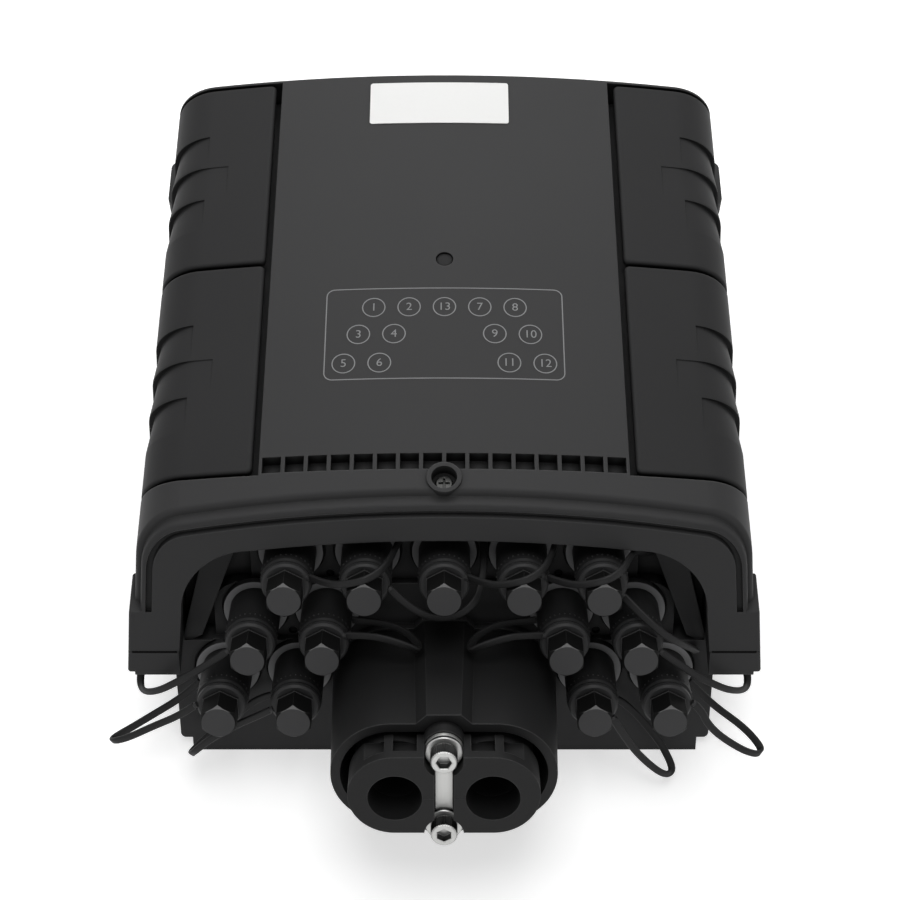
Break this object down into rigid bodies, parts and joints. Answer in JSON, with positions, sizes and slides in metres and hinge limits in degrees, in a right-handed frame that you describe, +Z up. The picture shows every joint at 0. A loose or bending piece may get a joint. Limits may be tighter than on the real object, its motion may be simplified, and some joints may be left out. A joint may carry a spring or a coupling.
{
  "type": "fibre distribution hub box",
  "caption": "Weatherproof fibre distribution hub box: hinged cover with folding side latches, capped drop ports in stepped rows on a slanted front, and an oval cable gland.",
  "frame": {"origin": "centre of the four bracket inserts, in the plane of the back face that lies on the floor", "axes": "+Z up, away from the back face; +Y towards the cover hinge; -Y towards the ports and the gland; +X to the right as the ports are faced"},
  "size_m": [0.2605, 0.3323, 0.1189],
  "materials": {
    "case": "fine moulded grain",
    "latch": "fine moulded grain",
    "port": "satin",
    "cap": "satin",
    "tether": "matt",
    "gland": "satin",
    "seal": "matt",
    "steel": "plain stainless",
    "valve": "satin",
    "tray": "satin",
    "splitter": "satin"
  },
  "bodies": {
    "base": {"base_shell": "case", "adapter_nuts": "port", "tether_rings": "tether", "gland_sleeve": "gland", "gland_plate": "gland", "gland_strap": "steel", "gland_screws": "steel", "gland_grommets": "seal", "gasket": "seal", "splice_tray_lower": "tray", "splice_tray_upper": "tray", "splitter_module": "splitter", "cover_hinge_pins": "steel", "adapter_01": "port", "adapter_02": "port", "adapter_03": "port", "adapter_04": "port", "adapter_05": "port", "adapter_06": "port", "adapter_07": "port", "adapter_08": "port", "adapter_09": "port", "adapter_10": "port", "adapter_11": "port", "adapter_12": "port", "adapter_13": "port", "tether_01": "tether", "tether_02": "tether", "tether_03": "tether", "tether_04": "tether", "tether_05": "tether", "tether_06": "tether", "tether_07": "tether", "tether_08": "tether", "tether_09": "tether", "tether_10": "tether", "tether_11": "tether", "tether_12": "tether", "tether_13": "tether"},
    "cover": {"cover_shell": "case", "latch_pins": "steel", "captive_screw": "steel", "test_valve": "valve"},
    "latch_front_left": {"latch_front_left": "latch"},
    "latch_front_right": {"latch_front_right": "latch"},
    "latch_rear_left": {"latch_rear_left": "latch"},
    "latch_rear_right": {"latch_rear_right": "latch"},
    "cap_01": {"cap_01": "cap"},
    "cap_02": {"cap_02": "cap"},
    "cap_03": {"cap_03": "cap"},
    "cap_04": {"cap_04": "cap"},
    "cap_05": {"cap_05": "cap"},
    "cap_06": {"cap_06": "cap"},
    "cap_07": {"cap_07": "cap"},
    "cap_08": {"cap_08": "cap"},
    "cap_09": {"cap_09": "cap"},
    "cap_10": {"cap_10": "cap"},
    "cap_11": {"cap_11": "cap"},
    "cap_12": {"cap_12": "cap"},
    "cap_13": {"cap_13": "cap"}
  },
  "joints": [
    {"name": "cover_hinge", "type": "hinge", "parent": "base", "child": "cover", "pos_m": [0, 0.1205, 0.0588], "axis": [-1, 0, 0], "range_deg": [0, 100]},
    {"name": "latch_front_left_hinge", "type": "hinge", "parent": "cover", "child": "latch_front_left", "pos_m": [-0.0786, -0.03445, 0.10745], "axis": [0, 1, 0], "range_deg": [0, 90]},
    {"name": "latch_front_right_hinge", "type": "hinge", "parent": "cover", "child": "latch_front_right", "pos_m": [0.0786, -0.03445, 0.10745], "axis": [0, -1, 0], "range_deg": [0, 90]},
    {"name": "latch_rear_left_hinge", "type": "hinge", "parent": "cover", "child": "latch_rear_left", "pos_m": [-0.0786, 0.06425, 0.10745], "axis": [0, 1, 0], "range_deg": [0, 90]},
    {"name": "latch_rear_right_hinge", "type": "hinge", "parent": "cover", "child": "latch_rear_right", "pos_m": [0.0786, 0.06425, 0.10745], "axis": [0, -1, 0], "range_deg": [0, 90]},
    {"name": "cap_01_twist", "type": "hinge", "parent": "base", "child": "cap_01", "pos_m": [-0.06, -0.09491, 0.07481], "axis": [0, -0.866, 0.5], "range_deg": [0, 90]},
    {"name": "cap_02_twist", "type": "hinge", "parent": "base", "child": "cap_02", "pos_m": [-0.03, -0.09491, 0.07481], "axis": [0, -0.866, 0.5], "range_deg": [0, 90]},
    {"name": "cap_03_twist", "type": "hinge", "parent": "base", "child": "cap_03", "pos_m": [-0.0744, -0.11043, 0.05594], "axis": [0, -0.866, 0.5], "range_deg": [0, 90]},
    {"name": "cap_04_twist", "type": "hinge", "parent": "base", "child": "cap_04", "pos_m": [-0.0462, -0.11043, 0.05594], "axis": [0, -0.866, 0.5], "range_deg": [0, 90]},
    {"name": "cap_05_twist", "type": "hinge", "parent": "base", "child": "cap_05", "pos_m": [-0.0864, -0.12669, 0.03576], "axis": [0, -0.866, 0.5], "range_deg": [0, 90]},
    {"name": "cap_06_twist", "type": "hinge", "parent": "base", "child": "cap_06", "pos_m": [-0.0577, -0.12669, 0.03576], "axis": [0, -0.866, 0.5], "range_deg": [0, 90]},
    {"name": "cap_07_twist", "type": "hinge", "parent": "base", "child": "cap_07", "pos_m": [0.03, -0.09491, 0.07481], "axis": [0, -0.866, 0.5], "range_deg": [0, 90]},
    {"name": "cap_08_twist", "type": "hinge", "parent": "base", "child": "cap_08", "pos_m": [0.06, -0.09491, 0.07481], "axis": [0, -0.866, 0.5], "range_deg": [0, 90]},
    {"name": "cap_09_twist", "type": "hinge", "parent": "base", "child": "cap_09", "pos_m": [0.0462, -0.11043, 0.05594], "axis": [0, -0.866, 0.5], "range_deg": [0, 90]},
    {"name": "cap_10_twist", "type": "hinge", "parent": "base", "child": "cap_10", "pos_m": [0.0744, -0.11043, 0.05594], "axis": [0, -0.866, 0.5], "range_deg": [0, 90]},
    {"name": "cap_11_twist", "type": "hinge", "parent": "base", "child": "cap_11", "pos_m": [0.0577, -0.12669, 0.03576], "axis": [0, -0.866, 0.5], "range_deg": [0, 90]},
    {"name": "cap_12_twist", "type": "hinge", "parent": "base", "child": "cap_12", "pos_m": [0.0864, -0.12669, 0.03576], "axis": [0, -0.866, 0.5], "range_deg": [0, 90]},
    {"name": "cap_13_twist", "type": "hinge", "parent": "base", "child": "cap_13", "pos_m": [0, -0.09491, 0.07481], "axis": [0, -0.866, 0.5], "range_deg": [0, 90]}
  ]
}
